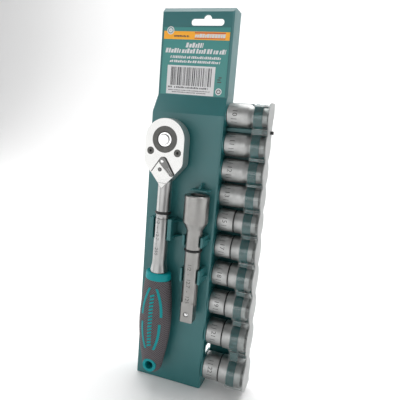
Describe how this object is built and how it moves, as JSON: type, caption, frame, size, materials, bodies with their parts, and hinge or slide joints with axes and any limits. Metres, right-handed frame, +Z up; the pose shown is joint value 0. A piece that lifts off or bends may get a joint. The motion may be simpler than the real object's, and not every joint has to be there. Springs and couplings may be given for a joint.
{
  "type": "socket wrench set in case",
  "caption": "Hanging plastic holder with a reversible ratchet, an extension bar and a row of hexagon sockets under a clear slide-off cover.",
  "frame": {"origin": "middle of the hang slot on the header's front face", "axes": "+X towards the sockets, -Y towards the user, +Z up along the hanging holder"},
  "size_m": [0.1175, 0.054, 0.3742],
  "materials": {
    "holder": "dark teal moulded plastic, fine satin grain",
    "label": "coated printed card",
    "clear_cover": "clear moulded plastic",
    "black_plastic": "dark moulded plastic",
    "socket_chrome": "satin chrome on steel",
    "polished_chrome": "polished chrome on steel",
    "dark_steel": "dark phosphated steel",
    "spring_steel": "drawn spring steel",
    "ball_steel": "hardened polished ball",
    "black_rubber": "black rubber",
    "grip_rubber": "dark grey textured rubber",
    "teal_plastic": "teal moulded plastic",
    "bar_steel": "satin chromed steel"
  },
  "bodies": {
    "holder": {"holder_panel": "holder", "header_label": "label", "socket_pegs": "holder", "socket_frame": "holder", "front_strap": "holder", "ratchet_clip": "holder", "bar_clips": "holder", "bar_stop": "holder", "cover_stud": "black_plastic"},
    "cover": {"cover": "clear_cover"},
    "socket_10": {"socket_10": "socket_chrome"},
    "socket_11": {"socket_11": "socket_chrome"},
    "socket_12": {"socket_12": "socket_chrome"},
    "socket_13": {"socket_13": "socket_chrome"},
    "socket_15": {"socket_15": "socket_chrome"},
    "socket_17": {"socket_17": "socket_chrome"},
    "socket_18": {"socket_18": "socket_chrome"},
    "socket_19": {"socket_19": "socket_chrome"},
    "socket_21": {"socket_21": "socket_chrome"},
    "socket_22": {"socket_22": "socket_chrome"},
    "ratchet": {"ratchet_body": "polished_chrome", "head_plate": "polished_chrome", "head_screws": "dark_steel", "plate_dowel": "ball_steel", "pawl_plunger": "spring_steel", "pawl_spring": "spring_steel", "shank_ring": "black_rubber", "grip_collar": "teal_plastic", "grip": "grip_rubber", "grip_inlays": "teal_plastic", "hang_eyelet": "teal_plastic"},
    "drive": {"drive_gear": "dark_steel", "button_spring": "spring_steel"},
    "button": {"release_button": "polished_chrome"},
    "drive_ball": {"drive_ball": "ball_steel"},
    "lever": {"reversing_lever": "dark_steel"},
    "pawl": {"pawl": "dark_steel"},
    "extension": {"extension_bar": "bar_steel", "bar_ring": "black_rubber", "bar_ball_spring": "spring_steel"},
    "bar_ball": {"bar_ball": "ball_steel"}
  },
  "joints": [
    {"name": "cover_slide", "type": "slide", "parent": "holder", "child": "cover", "axis": [1, 0, 0], "range_m": [0, 0.09]},
    {"name": "socket_10_slide", "type": "slide", "parent": "holder", "child": "socket_10", "axis": [1, 0, 0], "range_m": [0, 0.045]},
    {"name": "socket_11_slide", "type": "slide", "parent": "holder", "child": "socket_11", "axis": [1, 0, 0], "range_m": [0, 0.045]},
    {"name": "socket_12_slide", "type": "slide", "parent": "holder", "child": "socket_12", "axis": [1, 0, 0], "range_m": [0, 0.045]},
    {"name": "socket_13_slide", "type": "slide", "parent": "holder", "child": "socket_13", "axis": [1, 0, 0], "range_m": [0, 0.045]},
    {"name": "socket_15_slide", "type": "slide", "parent": "holder", "child": "socket_15", "axis": [1, 0, 0], "range_m": [0, 0.045]},
    {"name": "socket_17_slide", "type": "slide", "parent": "holder", "child": "socket_17", "axis": [1, 0, 0], "range_m": [0, 0.045]},
    {"name": "socket_18_slide", "type": "slide", "parent": "holder", "child": "socket_18", "axis": [1, 0, 0], "range_m": [0, 0.045]},
    {"name": "socket_19_slide", "type": "slide", "parent": "holder", "child": "socket_19", "axis": [1, 0, 0], "range_m": [0, 0.045]},
    {"name": "socket_21_slide", "type": "slide", "parent": "holder", "child": "socket_21", "axis": [1, 0, 0], "range_m": [0, 0.045]},
    {"name": "socket_22_slide", "type": "slide", "parent": "holder", "child": "socket_22", "axis": [1, 0, 0], "range_m": [0, 0.045]},
    {"name": "ratchet_lift", "type": "slide", "parent": "holder", "child": "ratchet", "axis": [0, -1, 0], "range_m": [0, 0.06]},
    {"name": "drive_spin", "type": "hinge", "parent": "ratchet", "child": "drive", "pos_m": [-0.023, -0.018, -0.108], "axis": [0, -1, 0], "continuous": true},
    {"name": "button_press", "type": "slide", "parent": "drive", "child": "button", "axis": [0, 1, 0], "range_m": [0, 0.0025], "stiffness_N_per_m": 1600, "springref_m": -0.002, "deforming": ["button_spring"]},
    {"name": "drive_ball_slide", "type": "slide", "parent": "drive", "child": "drive_ball", "axis": [-1, 0, 0], "range_m": [0, 0.0009]},
    {"name": "lever_swing", "type": "hinge", "parent": "ratchet", "child": "lever", "pos_m": [-0.02314, -0.018, -0.128], "axis": [0, 1, 0], "range_deg": [0, 78]},
    {"name": "pawl_rock", "type": "hinge", "parent": "ratchet", "child": "pawl", "pos_m": [-0.02314, -0.018, -0.128], "axis": [0, 1, 0], "range_deg": [0, 7.8]},
    {"name": "extension_lift", "type": "slide", "parent": "holder", "child": "extension", "axis": [0, -1, 0], "range_m": [0, 0.05]},
    {"name": "bar_ball_press", "type": "slide", "parent": "extension", "child": "bar_ball", "axis": [0, 1, 0], "range_m": [0, 0.0009], "stiffness_N_per_m": 2500, "springref_m": -0.0008, "deforming": ["bar_ball_spring"]}
  ],
  "couplings": [
    {"joint": "socket_10_slide", "follows": "cover_slide", "ratio": 0.5},
    {"joint": "socket_11_slide", "follows": "cover_slide", "ratio": 0.5},
    {"joint": "socket_12_slide", "follows": "cover_slide", "ratio": 0.5},
    {"joint": "socket_13_slide", "follows": "cover_slide", "ratio": 0.5},
    {"joint": "socket_15_slide", "follows": "cover_slide", "ratio": 0.5},
    {"joint": "socket_17_slide", "follows": "cover_slide", "ratio": 0.5},
    {"joint": "socket_18_slide", "follows": "cover_slide", "ratio": 0.5},
    {"joint": "socket_19_slide", "follows": "cover_slide", "ratio": 0.5},
    {"joint": "socket_21_slide", "follows": "cover_slide", "ratio": 0.5},
    {"joint": "socket_22_slide", "follows": "cover_slide", "ratio": 0.5},
    {"joint": "drive_ball_slide", "follows": "button_press", "ratio": 0.36},
    {"joint": "pawl_rock", "follows": "lever_swing", "ratio": 0.1}
  ]
}
